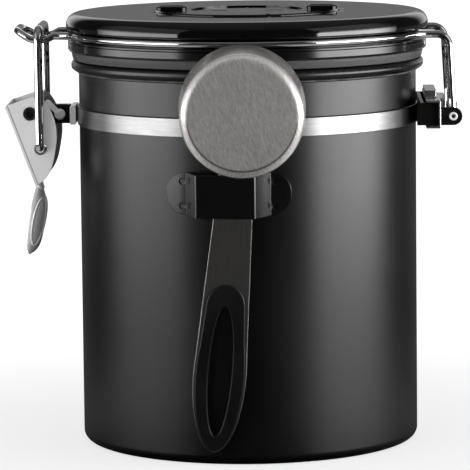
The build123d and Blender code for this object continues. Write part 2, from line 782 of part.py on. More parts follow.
def month_dial():
    """Inner dial with a stem that passes through the cap."""
    inner = month_radius + seat_gap - dial_lip
    lip_low = dial_bottom + dial_lip_thickness + dial_gap
    hub = inner - seat_gap
    stem_low = pocket_under - clip_thickness * 2 - fit_gap
    groove_top = pocket_under - fit_gap
    groove_low = groove_top - clip_thickness - fit_gap
    dial = turned([
        (0, stem_low), (stem_radius, stem_low), (stem_radius, groove_low),
        (stem_radius - stem_groove, groove_low), (stem_radius - stem_groove, groove_top),
        (stem_radius, groove_top), (stem_radius, dial_bottom), (hub, dial_bottom), (hub, lip_low),
        (month_radius, lip_low), (month_radius, month_top - dial_chamfer / 2),
        (month_radius - dial_chamfer / 2, month_top), (0, month_top)])
    hollow = Pos(month_radius - index_length / 2, 0, month_top - index_depth) * extrude(
        SlotOverall(index_length, index_width), amount=cut_over)
    dial -= Rot(0, 0, -90 - index_turn) * hollow
    dimple = Pos(month_radius / 2, 0, month_top - index_depth) * extrude(
        SlotOverall(index_length, 2 * index_width), amount=cut_over)
    for turn in (0, 180):
        dial -= Rot(0, 0, turn) * dimple
    return dial


def dial_clip():
    """Snap ring on the stem, under the cap."""
    top = pocket_under - fit_gap
    washer = ring(clip_radius, stem_radius - stem_groove + fit_gap, top - clip_thickness, top)
    mouth = block(
        (0, -stem_radius + stem_groove, top - clip_thickness - cut_over),
        (clip_radius + cut_over, stem_radius - stem_groove, top + cut_over))
    return washer - mouth


lever_cheek_shares = (
    # front edge of a cheek, from its top to the neck: shares of the reach to the
    # front and of the drop to the neck
    (0.80, 0.0), (0.96, 0.33), (0.90, 0.51), (0.72, 0.78))


def lever_cheek_face():
    """Outline of a cheek, round the pivot."""
    back = (-lever_back, lever_top * 0.44)
    crown = (lever_front * 0.10, lever_top)
    brow = (lever_front * 0.48, lever_top * 0.87)
    neck = (lever_front * 0.16, -lever_drop)
    front = [(x * lever_front, -z * lever_drop) for x, z in lever_cheek_shares]
    edges = [
        Line(back, crown),
        Line(crown, brow),
        Spline([brow, *front, neck]),
        Line(neck, back)]
    return Pos(pivot_x, pivot_z) * Face(Wire(edges))


spoon_shares = (
    # section of the thumb tab from neck to tip: shares of its length and depth
    (0.12, 0.34), (0.40, 1.0), (0.66, 0.94), (0.91, 0.62))


def lever_spoon(origin, toward):
    """Cupped thumb tab: a leaf-shaped shell, its rim between origin and toward."""
    along = (toward - origin).normalized()
    length = (toward - origin).length
    outer_points = [(x * length, y * spoon_depth) for x, y in spoon_shares]
    shrink = 1 - spoon_sheet / spoon_depth
    inner_start = spoon_sheet * 2
    inner_length = length - 2 * inner_start
    inner_points = [
        (inner_start + x * inner_length, y * spoon_depth * shrink) for x, y in spoon_shares]
    inner_end = length - inner_start
    section = Face(Wire([
        Spline([(0, 0), *outer_points, (length, 0)]),
        Line((length, 0), (inner_end, 0)),
        Spline([(inner_end, 0), *reversed(inner_points), (inner_start, 0)]),
        Line((inner_start, 0), (0, 0))]))
    shell = Rot(90 - spoon_curl, 0, 0) * revolve(section, Axis.X, 180 + 2 * spoon_curl)
    stretch = spoon_width / (2 * spoon_depth)
    shell = scale(shell, by=(1, 1, stretch))
    place = Plane(
        origin=(origin.X, 0, origin.Y), x_dir=(along.X, 0, along.Y), z_dir=(0, 1, 0))
    return place * shell


def latch_lever():
    """Pressed lever: two cheeks, the web between their backs and a cupped thumb tab."""
    face = lever_cheek_face()
    cheek_y = lever_inside / 2 + lever_sheet / 2
    outer_y = lever_inside / 2 + lever_sheet
    back_top = Vector(pivot_x - lever_back, pivot_z + lever_top * 0.44)
    neck = Vector(pivot_x + lever_front * 0.16, pivot_z - lever_drop)
    run = (neck - back_top).length
    slope = (neck - back_top).normalized()
    lever = side_plate(face, cheek_y, lever_sheet) + side_plate(face, -cheek_y, lever_sheet)
    # The web's own plane: X runs down the back of the lever, Y across it.
    web_plane = Plane(
        origin=(back_top.X, 0, back_top.Y), x_dir=(slope.X, 0, slope.Y), z_dir=(slope.Y, 0, -slope.X))
    web = rounded_face([
        (0, -outer_y), (run - tab_neck_drop, -outer_y, lever_corner), (run, -tab_neck / 2),
        (run + tab_neck_drop, -tab_neck / 4), (run + tab_neck_drop, tab_neck / 4),
        (run, tab_neck / 2), (run - tab_neck_drop, outer_y, lever_corner), (0, outer_y)])
    lever += extrude(web_plane * web, amount=-lever_sheet)
    tip = Vector(pivot_x - spoon_tip_back, pivot_z - spoon_tip_drop)
    start = neck - (tip - neck).normalized() * tab_neck_drop
    lever += lever_spoon(start, tip)
    reach = outer_y + cut_over
    lever -= cross_pin(rivet_radius + fit_gap, pivot_x, pivot_z, -reach, reach)
    lever -= cross_pin(link_radius + link_hole_play, link_x, link_z, -reach, reach)
    return lever


def link_wire():
    """Wire link: feet in the lever, legs and the bar that hooks over the bail's nose."""
    foot = link_y - link_foot
    path = FilletPolyline(
        (link_x, -foot, link_z), (link_x, -link_y, link_z), (hook_x, -link_y, hook_z),
        (hook_x, link_y, hook_z), (link_x, link_y, link_z), (link_x, foot, link_z),
        radius=[link_foot_bend, link_corner, link_corner, link_foot_bend])
    return swept_wire(path, link_radius)


def scoop_place():
    """Frame of the scoop: local Z up the handle, local -Y out of the cup's base."""
    tip = (scoop_tip_side, -body_radius - scoop_tip_gap, scoop_tip_z)
    return Pos(*tip) * Rot(0, 0, scoop_turn) * Rot(scoop_lean, 0, 0) * Rot(0, scoop_tilt, 0)


def handle_sketch(inset=0.0):
    """Outline of the handle in its own plane: straight tapered sides and a rounded end."""
    half_wide = handle_width / 2 - inset
    half_neck = handle_neck / 2 - inset
    blade = Polygon(
        (half_wide, handle_end), (half_neck, handle_length), (-half_neck, handle_length),
        (-half_wide, handle_end), align=None)
    end = Pos(0, handle_end) * Ellipse(half_wide, handle_end - inset)
    return blade + end


def grip_sketch():
    """Outline of the grip: it follows the handle's edge and has a rounded top."""
    shoulder = grip_length - grip_crown
    taper = (handle_width - handle_neck) / 2 / (handle_length - handle_end)
    half_wide = handle_width / 2 - grip_edge
    half_top = half_wide - (shoulder - handle_end) * taper - grip_edge
    blade = Polygon(
        (half_wide, handle_end), (half_top, shoulder), (-half_top, shoulder), (-half_wide, handle_end),
        align=None)
    return blade + Pos(0, handle_end) * Ellipse(half_wide, handle_end - grip_edge) + (
        Pos(0, shoulder) * Ellipse(half_top, grip_crown))


def slot_sketch(grow=0.0):
    """Outline of the long opening in the handle."""
    return Pos(0, slot_middle) * Ellipse(slot_width / 2 + grow, slot_length / 2 + grow)


def plate_from(sketch, back, thickness):
    """Plate in the handle's plane whose back face is at local Y = -back."""
    plane = Plane(origin=(0, -back, 0), x_dir=(1, 0, 0), z_dir=(0, -1, 0))
    return extrude(plane * sketch, amount=thickness)


def cup_centre_height():
    """Height of the cup's middle up the handle."""
    return handle_length + cup_mouth / 2


def scoop_cup():
    """Drawn measuring cup with a rounded base."""
    mouth = cup_mouth / 2
    base = cup_base / 2
    cup = turned([
        (0, cup_depth), (base, cup_depth, cup_round), (mouth, cup_lip), (mouth, 0),
        (mouth - cup_wall, 0), (base - cup_wall, cup_depth - cup_wall, cup_round - cup_wall),
        (0, cup_depth - cup_wall)])
    return Pos(0, 0, cup_centre_height()) * Rot(90, 0, 0) * cup


def handle_tab_solid():
    """Curved tongue of the handle that lies against the cup's side."""
    inner_top = cup_mouth / 2 + fit_gap
    inner_low = inner_top - (cup_mouth - cup_base) / 2 * handle_tab / cup_depth
    sleeve = turned([
        (inner_top, 0), (inner_top + handle_thickness, 0), (inner_low + handle_thickness, handle_tab),
        (inner_low, handle_tab)])
    sleeve = Rot(90, 0, 0) * sleeve
    half = handle_neck / 2
    keep = block((-half, -handle_tab - cut_over, -cup_mouth), (half, cut_over, 0))
    return Pos(0, 0, cup_centre_height()) * (sleeve & keep)


def scoop_handle():
    """Steel strip with a long slot, bent on to the cup's side at its top."""
    strip = plate_from(handle_sketch(), 0, handle_thickness)
    strip -= plate_from(slot_sketch(grip_lap), -cut_over, handle_thickness + 2 * cut_over)
    hole = Pos(0, hang_hole_inset) * Circle(hang_hole_radius)
    strip -= plate_from(hole, -cut_over, handle_thickness + 2 * cut_over)
    room = Pos(0, 0, cup_centre_height()) * Rot(90, 0, 0) * disc(
        cup_mouth / 2 + fit_gap, -cut_over, cup_depth)
    blend = handle_thickness * 2
    neck = block(
        (-handle_neck / 2, -handle_thickness, handle_length - blend),
        (handle_neck / 2, 0, handle_length + blend))
    strip += neck
    return (strip - room) + handle_tab_solid()


def handle_grip():
    """Soft lining of the slot that laps over both faces of the handle."""
    thickness = handle_thickness + 2 * grip_rise
    lining = plate_from(grip_sketch() - slot_sketch(), -grip_rise, thickness)
    faces = lining.faces().sort_by(Axis.Y)
    rims = [edge for face in (faces[0], faces[-1]) for edge in face.edges()]
    return fillet(rims, grip_round) - scoop_handle_core()


def scoop_handle_core():
    """The steel that the grip is moulded round."""
    core = plate_from(handle_sketch(), 0, handle_thickness)
    core -= plate_from(slot_sketch(grip_lap), -cut_over, handle_thickness + 2 * cut_over)
    return core


def scoop_rivets():
    """Two flat rivet heads inside the cup that hold the tongue of the handle."""
    dots = []
    narrowing = (cup_mouth - cup_base) / 2 / cup_depth
    wall = cup_mouth / 2 - cup_wall - narrowing * (handle_tab / 2 + rivet_dot_radius)
    seat = sqrt(wall ** 2 - rivet_dot_radius ** 2)
    for side in (-1, 1):
        turn = degrees(side * handle_neck / 4 / (cup_mouth / 2))
        radius = seat - fit_gap - rivet_dot_height
        dot = Pos(0, -handle_tab / 2, -radius) * Rot(180, 0, 0) * extrude(
            Circle(rivet_dot_radius), amount=rivet_dot_height)
        dots.append(Pos(0, 0, cup_centre_height()) * Rot(0, turn, 0) * dot)
    return Compound(children=dots)


def on_scoop(piece):
    """Place a piece of the scoop in its holder."""
    return scoop_place() * piece


nodes = {
    "canister_body": canister_body(),
    "clamp_band": clamp_band(),
    "hinge_bracket": hinge_bracket(),
    "hinge_keeper": hinge_keeper(),
    "latch_bracket": latch_bracket(),
    "latch_keeper": latch_keeper(),
    "latch_screw": latch_screw(),
    "lock_tab": lock_tab(),
    "latch_nut": latch_nut(),
    "lever_rivet": lever_rivet(),
    "scoop_holder": scoop_holder(),
    "lid_cap": lid_cap(),
    "lid_base": lid_base(),
    "lid_seal": lid_seal(),
    "lid_screws": lid_screws(),
    "bail_wire": bail_wire(),
    "valve_housing": valve_housing(),
    "valve_flap": valve_flap(),
    "valve_cage": valve_cage(),
    "valve_filter": valve_filter(),
    "valve_grille": valve_grille(),
    "day_dial": day_dial(),
    "month_dial": month_dial(),
    "dial_clip": dial_clip(),
    "latch_lever": latch_lever(),
    "link_wire": link_wire(),
    "scoop_cup": on_scoop(scoop_cup()),
    "scoop_handle": on_scoop(scoop_handle()),
    "handle_grip": on_scoop(handle_grip()),
    "scoop_rivets": on_scoop(scoop_rivets()),
}

os.makedirs("parts", exist_ok=True)
for name, solid in nodes.items():
    export_step(solid, f"parts/{name}.step")
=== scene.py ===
import bpy
import json
from math import radians, sin, cos, pi
from mathutils import Matrix, Vector
from mathutils.bvhtree import BVHTree


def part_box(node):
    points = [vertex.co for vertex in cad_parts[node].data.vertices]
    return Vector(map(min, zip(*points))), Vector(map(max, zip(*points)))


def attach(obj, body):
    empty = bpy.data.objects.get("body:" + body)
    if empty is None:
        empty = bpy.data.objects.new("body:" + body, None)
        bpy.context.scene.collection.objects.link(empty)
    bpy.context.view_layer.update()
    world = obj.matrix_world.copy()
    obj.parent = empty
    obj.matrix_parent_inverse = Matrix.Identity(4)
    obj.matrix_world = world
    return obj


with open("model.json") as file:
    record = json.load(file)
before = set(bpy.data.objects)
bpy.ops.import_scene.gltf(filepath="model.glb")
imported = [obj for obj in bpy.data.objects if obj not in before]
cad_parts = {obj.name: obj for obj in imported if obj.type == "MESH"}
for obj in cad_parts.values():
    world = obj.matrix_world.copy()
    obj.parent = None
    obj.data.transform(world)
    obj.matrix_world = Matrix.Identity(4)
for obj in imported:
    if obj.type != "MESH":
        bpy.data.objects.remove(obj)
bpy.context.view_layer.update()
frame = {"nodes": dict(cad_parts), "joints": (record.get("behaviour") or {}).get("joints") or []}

nodes = frame["nodes"]
MM = 0.001

# Levels of a step up and of a step down, and the whole span of a share
RISING = (0.0, 1.0)
FALLING = (1.0, 0.0)
WHOLE = (0.0, 1.0)


# Helpers for node trees

def emptied(holder):
    """Node tree of a new material or world, without its first nodes."""
    holder.use_nodes = True
    holder.node_tree.nodes.clear()
    return holder.node_tree


def new_material(name):
    """Material with only a principled shader."""
    mat = bpy.data.materials.new(name)
    tree = emptied(mat)
    out = tree.nodes.new("ShaderNodeOutputMaterial")
    shader = tree.nodes.new("ShaderNodeBsdfPrincipled")
    tree.links.new(shader.outputs[0], out.inputs[0])
    return mat, tree, shader


def tree_and_shader(material):
    """Node tree and principled shader of a finished material."""
    tree = material.node_tree
    shader = next(item for item in tree.nodes if item.type == "BSDF_PRINCIPLED")
    return tree, shader


def node(tree, kind, **values):
    """New node; values set its properties or its inputs by name."""
    made = tree.nodes.new(kind)
    for key, value in values.items():
        if hasattr(made, key):
            setattr(made, key, value)
        else:
            made.inputs[key.replace("_", " ")].default_value = value
    return made


def feed(tree, socket, value):
    """Give an input a number or the output of another node."""
    if isinstance(value, (int, float)):
        socket.default_value = value
    else:
        tree.links.new(value, socket)


def texture_place(tree, kind):
    """Texture coordinate of one kind, such as Object, which is in metres, or Normal."""
    return tree.nodes.new("ShaderNodeTexCoord").outputs[kind]


def split_axes(tree, source):
    """X, Y and Z outputs of a vector."""
    split = tree.nodes.new("ShaderNodeSeparateXYZ")
    tree.links.new(source, split.inputs[0])
    return split.outputs


def link_math(tree, operation, *values):
    """Math node of outputs and numbers."""
    made = node(tree, "ShaderNodeMath", operation=operation)
    for socket, value in zip(made.inputs, values):
        feed(tree, socket, value)
    return made.outputs[0]


def eased(tree, source, span, levels):
    """Smooth step between two levels, over a span of the source's values."""
    made = node(
        tree, "ShaderNodeMapRange", From_Min=span[0], From_Max=span[1], To_Min=levels[0], To_Max=levels[1])
    made.interpolation_type = "SMOOTHSTEP"
    tree.links.new(source, made.inputs["Value"])
    return made.outputs[0]


def between(tree, source, begins, ends, before=0.0, after=0.0):
    """1 between two spans of the source's values, and less before and after them."""
    rising = eased(tree, source, begins, (before, 1.0))
    falling = eased(tree, source, ends, (1.0, after))
    return link_math(tree, "MULTIPLY", rising, falling)


def blended(tree, share, first, second):
    """First where share is 0, second where it is 1; each is an output or a number."""
    blend = node(tree, "ShaderNodeMix", data_type="FLOAT")
    feed(tree, blend.inputs["Factor"], share)
    feed(tree, blend.inputs["A"], first)
    feed(tree, blend.inputs["B"], second)
    return blend.outputs[0]


def ramp(tree, source, low, high, span=(0.3, 0.7)):
    """Values or colours from low to high; the usual span holds nearly all values of a noise."""
    made = tree.nodes.new("ShaderNodeValToRGB")
    for element, place, value in zip(made.color_ramp.elements, span, (low, high)):
        element.position = place
        element.color = (*value, 1) if isinstance(value, tuple) else (value, value, value, 1)
    tree.links.new(source, made.inputs[0])
    return made.outputs[0]


def noise(tree, scale, detail, rough, stretch=(1, 1, 1), lean=0.0):
    """Noise in metres, long on the axes where stretch is under 1, which lean about Y."""
    turned = tree.nodes.new("ShaderNodeMapping")
    turned.inputs["Rotation"].default_value = (0, lean, 0)
    stretched = tree.nodes.new("ShaderNodeMapping")
    stretched.inputs["Scale"].default_value = stretch
    made = node(tree, "ShaderNodeTexNoise", Scale=scale, Detail=detail, Roughness=rough)
    tree.links.new(texture_place(tree, "Object"), turned.inputs[0])
    tree.links.new(turned.outputs[0], stretched.inputs[0])
    tree.links.new(stretched.outputs[0], made.inputs["Vector"])
    return made.outputs[0]


def bump(tree, shader, source, strength, depth, edge=0.0):
    """Bump on the shader's normal, which also rounds off at sharp edges where edge isn't 0."""
    made = node(tree, "ShaderNodeBump", Strength=strength, Distance=depth)
    tree.links.new(source, made.inputs["Height"])
    if edge:
        rounded = node(tree, "ShaderNodeBevel", samples=6, Radius=edge)
        tree.links.new(rounded.outputs[0], made.inputs["Normal"])
    tree.links.new(made.outputs[0], shader.inputs["Normal"])


def present_colour(shader):
    """Output that gives the shader its colour so far."""
    return shader.inputs["Base Color"].links[0].from_socket


def darken(tree, shader, share):
    """Scale the shader's colour by an output."""
    scaled = node(tree, "ShaderNodeVectorMath", operation="SCALE")
    tree.links.new(present_colour(shader), scaled.inputs[0])
    tree.links.new(share, scaled.inputs["Scale"])
    tree.links.new(scaled.outputs[0], shader.inputs["Base Color"])


# Kinds of material

peel_depth = 0.06 * MM
grain_depth = 0.05 * MM
flow_depth = 0.03 * MM
holder_edge = 0.35 * MM
lever_edge = 0.5 * MM
handle_edge = 0.55 * MM


def grey(value, warmth=0.0):
    """Grey, a little redder than blue by warmth."""
    return (value * (1 + warmth), value, value * (1 - warmth))


def coated(name, low, high, rough, specular, strength=0.12, edge=0.0):
    """Powder or paint coat: fine orange peel and faint cloudiness."""
    mat, tree, shader = new_material(name)
    shader.inputs["Specular IOR Level"].default_value = specular
    peel = noise(tree, scale=2600.0, detail=2.0, rough=0.5)
    cloud = noise(tree, scale=28.0, detail=4.0, rough=0.55)
    tree.links.new(ramp(tree, cloud, low, high), shader.inputs["Base Color"])
    tree.links.new(ramp(tree, cloud, *rough), shader.inputs["Roughness"])
    bump(tree, shader, peel, strength, peel_depth, edge)
    return mat


def moulded(name, low, high, rough, specular=0.5, strength=0.05):
    """Moulded plastic, rubber or felt: faint flow marks and a fine surface."""
    mat, tree, shader = new_material(name)
    shader.inputs["Specular IOR Level"].default_value = specular
    flow = noise(tree, scale=60.0, detail=5.0, rough=0.55)
    fine = noise(tree, scale=1800.0, detail=2.0, rough=0.5)
    tree.links.new(ramp(tree, flow, low, high), shader.inputs["Base Color"])
    tree.links.new(ramp(tree, flow, *rough), shader.inputs["Roughness"])
    bump(tree, shader, fine, strength, flow_depth)
    return mat


def brushed(name, low, high, rough, stretch=(1, 1, 1), lean=0.0, scale=1500.0, strength=0.1,
            metallic=1.0, side_rough=None, edge=0.0):
    """Steel with a directional grain; with side_rough, faces that don't look along Y are calmer."""
    mat, tree, shader = new_material(name)
    shader.inputs["Metallic"].default_value = metallic
    relief = noise(tree, scale=scale, detail=5.0, rough=0.7, stretch=stretch, lean=lean)
    cloud = noise(tree, scale=40.0, detail=3.0, rough=0.5)
    cloud_share = 0.25
    pattern = blended(tree, cloud_share, relief, cloud)
    if side_rough is not None:
        noise_mean = 0.5
        turning_span = (0.35, 0.8)
        side_grain_share = 0.2
        facing = link_math(tree, "ABSOLUTE", split_axes(tree, texture_place(tree, "Normal"))["Y"])
        face_share = eased(tree, facing, turning_span, RISING)
        grain_share = eased(tree, facing, turning_span, (side_grain_share, 1.0))
        pattern = blended(tree, grain_share, noise_mean, pattern)
        relief = blended(tree, grain_share, noise_mean, relief)
    tree.links.new(ramp(tree, pattern, low, high), shader.inputs["Base Color"])
    roughness = ramp(tree, pattern, rough[1], rough[0])
    if side_rough is not None:
        roughness = blended(tree, face_share, side_rough, roughness)
    tree.links.new(roughness, shader.inputs["Roughness"])
    bump(tree, shader, relief, strength, grain_depth, edge)
    return mat


# Materials and the nodes that wear them

body_coat = coated("body_coat", grey(0.0012), grey(0.0018), rough=(0.3, 0.34), specular=0.45)
holder_coat = coated(
    "holder_coat", grey(0.002), grey(0.004), rough=(0.16, 0.22), specular=0.45, strength=0.05,
    edge=holder_edge)
bracket_coat = coated(
    "bracket_coat", grey(0.003, 0.1), grey(0.006, 0.1), rough=(0.34, 0.44), specular=0.3, strength=0.2)

band_steel = brushed("band_steel", grey(0.2), grey(0.3), rough=(0.28, 0.36), stretch=(0.05, 0.05, 1))
plate_steel = brushed(
    "plate_steel", grey(0.86), grey(0.96), rough=(0.3, 0.42), stretch=(1, 1, 0.08), metallic=0.2)
keeper_steel = brushed(
    "keeper_steel", grey(0.5), grey(0.66), rough=(0.16, 0.26), stretch=(1, 1, 0.08), metallic=0.94)
rivet_steel = brushed("rivet_steel", grey(0.16), grey(0.24), rough=(0.25, 0.35))
lever_steel = brushed(
    "lever_steel", grey(0.9), grey(0.98), rough=(0.3, 0.4), stretch=(1, 1, 0.1), edge=lever_edge)
wire_steel = brushed(
    "wire_steel", grey(0.66), grey(0.78), rough=(0.05, 0.09), stretch=(1, 1, 0.2), strength=0.02)
scoop_steel = brushed(
    "scoop_steel", grey(0.36, 0.03), grey(1.0, 0.03), rough=(0.34, 0.5), stretch=(1, 1, 0.3),
    lean=radians(16), scale=1300.0, strength=0.7, metallic=0.82, side_rough=0.22)
handle_steel = brushed(
    "handle_steel", grey(0.22, 0.03), grey(0.4, 0.03), rough=(0.3, 0.4), stretch=(1, 1, 0.06),
    lean=radians(-5), scale=1300.0, strength=0.2, edge=handle_edge)

gloss_black = moulded("gloss_black", grey(0.0015), grey(0.0025), rough=(0.04, 0.08))
satin_black = moulded("satin_black", grey(0.006), grey(0.012), rough=(0.3, 0.42))
base_black = moulded("base_black", grey(0.003), grey(0.005), rough=(0.14, 0.2), specular=0.38)
grip_black = moulded(
    "grip_black", grey(0.002), grey(0.004), rough=(0.36, 0.46), specular=0.3, strength=0.2)
rubber = moulded("rubber", grey(0.01), grey(0.02), rough=(0.5, 0.7), strength=0.2)
seal_rubber = moulded("seal_rubber", grey(0.05), grey(0.07), rough=(0.5, 0.7), strength=0.2)
felt = moulded("felt", grey(0.58, 0.05), grey(0.76, 0.04), rough=(0.85, 0.95), strength=0.6)
dial_print = moulded("dial_print", grey(0.09), grey(0.12), rough=(0.35, 0.45))

looks = {
    "canister_body": body_coat,
    "clamp_band": band_steel,
    "hinge_bracket": bracket_coat,
    "hinge_keeper": keeper_steel,
    "latch_bracket": bracket_coat,
    "latch_keeper": plate_steel,
    "latch_screw": plate_steel,
    "lock_tab": plate_steel,
    "latch_nut": plate_steel,
    "lever_rivet": rivet_steel,
    "scoop_holder": holder_coat,
    "lid_cap": gloss_black,
    "lid_base": base_black,
    "lid_seal": seal_rubber,
    "lid_screws": plate_steel,
    "bail_wire": wire_steel,
    "valve_housing": satin_black,
    "valve_flap": rubber,
    "valve_cage": satin_black,
    "valve_filter": felt,
    "valve_grille": satin_black,
    "day_dial": gloss_black,
    "month_dial": gloss_black,
    "dial_clip": plate_steel,
    "latch_lever": lever_steel,
    "link_wire": wire_steel,
    "scoop_cup": scoop_steel,
    "scoop_handle": handle_steel,
    "handle_grip": grip_black,
    "scoop_rivets": plate_steel,
}
for name, material in looks.items():
    part = nodes[name]
    part.data.materials.clear()
    part.data.materials.append(material)


# Painted highlight line on the shell's coat under its rolled bead, and painted shade along the upper edge
# of the band

highlight_line_drop = 4.2 * MM
highlight_line_half_width = 0.35 * MM
band_edge_drop = 0.1 * MM
band_edge_half_width = 0.45 * MM


def ring_line(material, height, half_width, tone, least_share):
    """Stripe of another tone round a piece at one height, which paints light or shade, mottled where
    least_share is under 1.
    """
    patchiness_span = (0.35, 0.65)
    tree, shader = tree_and_shader(material)
    level = split_axes(tree, texture_place(tree, "Object"))["Z"]
    away = link_math(tree, "ABSOLUTE", link_math(tree, "SUBTRACT", level, height))
    stripe = eased(tree, away, (half_width / 2, half_width), FALLING)
    specks = noise(tree, scale=900.0, detail=3.0, rough=0.6, stretch=(0.2, 0.2, 1))
    patchiness = eased(tree, specks, patchiness_span, (least_share, 1.0))
    blend = node(tree, "ShaderNodeMix", data_type="RGBA")
    tree.links.new(link_math(tree, "MULTIPLY", stripe, patchiness), blend.inputs["Factor"])
    coat, painted_tone = [socket for socket in blend.inputs if socket.type == "RGBA"]
    tree.links.new(present_colour(shader), coat)
    painted_tone.default_value = (*tone, 1)
    mixed = next(socket for socket in blend.outputs if socket.type == "RGBA")
    tree.links.new(mixed, shader.inputs["Base Color"])


rim_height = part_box("canister_body")[1].z
band_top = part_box("clamp_band")[1].z
# Light line under the bead: a patchy painted highlight of the bead's lower edge, on the coat
ring_line(body_coat, rim_height - highlight_line_drop, highlight_line_half_width, tone=grey(0.34), least_share=0.35)
# Dark line at the band's upper edge: painted shade in the gap under the shell
ring_line(band_steel, band_top - band_edge_drop, band_edge_half_width, tone=grey(0.01), least_share=1.0)


# Rounded corner of the scoop's face, with a painted shade line on its lower side

def scoop_corner():
    """Less metallic finish on the corner, and a fine line of painted shade where it starts at the lower
    side.
    """
    corner_metallic = 0.62
    line_share = 0.3
    low_side_span = (-0.12, -0.03)
    tree, shader = tree_and_shader(scoop_steel)
    axes = split_axes(tree, texture_place(tree, "Normal"))
    facing = link_math(tree, "ABSOLUTE", axes["Y"])
    corner = between(tree, facing, begins=(0.2, 0.5), ends=(0.72, 0.97))
    round_line = between(tree, facing, begins=(0.94, 0.965), ends=(0.985, 0.996))
    low_side = eased(tree, axes["Z"], low_side_span, FALLING)
    line = link_math(tree, "MULTIPLY", round_line, low_side)
    face_metallic = shader.inputs["Metallic"].default_value
    metallic = eased(tree, corner, WHOLE, (face_metallic, corner_metallic))
    tree.links.new(metallic, shader.inputs["Metallic"])
    # Painted shade: the line darkens the colour only where the corner faces down
    darken(tree, shader, eased(tree, line, WHOLE, (1.0, line_share)))


scoop_corner()


# Finish of the lever: satin outside, plain steel inside and its tab in between; its colour is darkened
# inside with painted shade

def joint_place(name):
    """Rest position of a joint that turns."""
    return Vector(next(joint["pos_m"] for joint in frame["joints"] if joint["name"] == name))


tab_top_drop = 26.8 * MM
web_end_reach = 3 * MM
lever_place = joint_place("lever_swing")
lever_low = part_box("latch_lever")[0]
tab_top = lever_place.z - tab_top_drop
web_end = lever_place.x + web_end_reach


def fold_shade_line(tree):
    """Share of 1, less on a thin line of painted shade beside the straight back edge, where the sheet is
    bent.
    """
    tab_clearance = 1 * MM
    end_reach = 5 * MM
    line_begins = (0.75 * MM, 0.95 * MM)
    line_ends = (1.15 * MM, 1.4 * MM)
    line_share = 0.45
    above_tab = [
        vertex.co for vertex in nodes["latch_lever"].data.vertices if vertex.co.z > tab_top + tab_clearance]
    corner = min(above_tab, key=lambda point: point.x)
    low_end = min(
        (point for point in above_tab if point.z < tab_top + end_reach), key=lambda point: point.x)
    along = low_end - corner
    inward = Vector((-along.z, 0, along.x)).normalized()
    dot = node(tree, "ShaderNodeVectorMath", operation="DOT_PRODUCT")
    tree.links.new(texture_place(tree, "Object"), dot.inputs[0])
    dot.inputs[1].default_value = inward
    depth = link_math(tree, "SUBTRACT", dot.outputs["Value"], corner.dot(inward))
    line = between(tree, depth, line_begins, line_ends)
    return eased(tree, line, WHOLE, (1.0, line_share))


def lever_finish():
    """Metallic and colour of the lever's outside, which is its cheeks and web, its tab and its inside; the
    inside's darker colour is painted shade, and the tab is a little darker too.
    """
    fade = 0.5 * MM
    cheek_begins = 0.3 * MM
    cheek_ends = 0.1 * MM
    tree, shader = tree_and_shader(lever_steel)
    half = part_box("latch_lever")[1].y
    axes = split_axes(tree, texture_place(tree, "Object"))
    across = link_math(tree, "ABSOLUTE", axes["Y"])
    cheeks = eased(tree, across, (half - cheek_begins, half - cheek_ends), RISING)
    back = eased(tree, axes["X"], (web_end - fade, web_end + fade), FALLING)
    tab_span = (tab_top - fade, tab_top + fade)
    above_tab = eased(tree, axes["Z"], tab_span, RISING)
    tab = eased(tree, axes["Z"], tab_span, FALLING)
    outside = link_math(tree, "MAXIMUM", cheeks, link_math(tree, "MULTIPLY", back, above_tab))

    def three_way(inside_value, tab_value, outside_value):
        """Each of the three values where it belongs."""
        return blended(tree, outside, blended(tree, tab, inside_value, tab_value), outside_value)

    metallic = three_way(inside_value=1.0, tab_value=0.3, outside_value=0.12)
    tree.links.new(metallic, shader.inputs["Metallic"])
    # Painted shade: the colour inside the lever is darkened where the cheeks shade each other
    colour_share = three_way(inside_value=0.55, tab_value=0.8, outside_value=1.0)
    darken(tree, shader, link_math(tree, "MULTIPLY", colour_share, fold_shade_line(tree)))


lever_finish()


# Bead pressed round the dish of the thumb tab

def add_object(name, data):
    """New object in the scene."""
    made = bpy.data.objects.new(name, data)
    bpy.context.scene.collection.objects.link(made)
    return made


def tab_bead():
    """Thin raised oval on both sides of the tab, whose surface is found by looking along Y."""
    half_width = 2.0 * MM
    half_length = 9.0 * MM
    thickness = 0.7 * MM
    lean = radians(12)
    steps = 56
    middle_reach = 1.7 * MM
    middle_drop = 0.8 * MM
    look_from = 50 * MM
    middle_x = lever_place.x + middle_reach
    middle_z = (tab_top + lever_low.z) / 2 - middle_drop
    mesh = nodes["latch_lever"].data
    surface = BVHTree.FromPolygons(
        [vertex.co for vertex in mesh.vertices], [tuple(face.vertices) for face in mesh.polygons])
    data = bpy.data.curves.new("tab_bead", "CURVE")
    data.dimensions = "3D"
    data.bevel_depth = thickness / 2
    data.bevel_resolution = 4
    for side in (-1, 1):
        hits = []
        for step in range(steps):
            turn = 2 * pi * step / steps
            across = half_width * cos(turn)
            along = half_length * sin(turn)
            start = Vector((
                middle_x + across * cos(lean) + along * sin(lean), side * look_from,
                middle_z - across * sin(lean) + along * cos(lean)))
            place = surface.ray_cast(start, Vector((0, -side, 0)))[0]
            if place is not None:
                hits.append(place)
        spline = data.splines.new("NURBS")
        spline.points.add(len(hits) - 1)
        for point, place in zip(spline.points, hits):
            point.co = (*place, 1)
        spline.order_u = 4
        spline.use_cyclic_u = True
    data.materials.append(plate_steel)
    bead = add_object("tab_bead", data)
    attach(bead, "lever")


tab_bead()


# Broken edges of the sheet-metal pieces, which catch the light

corner_gap = 0.002 * MM
strap_edge = 0.2 * MM
plate_edge = 0.12 * MM


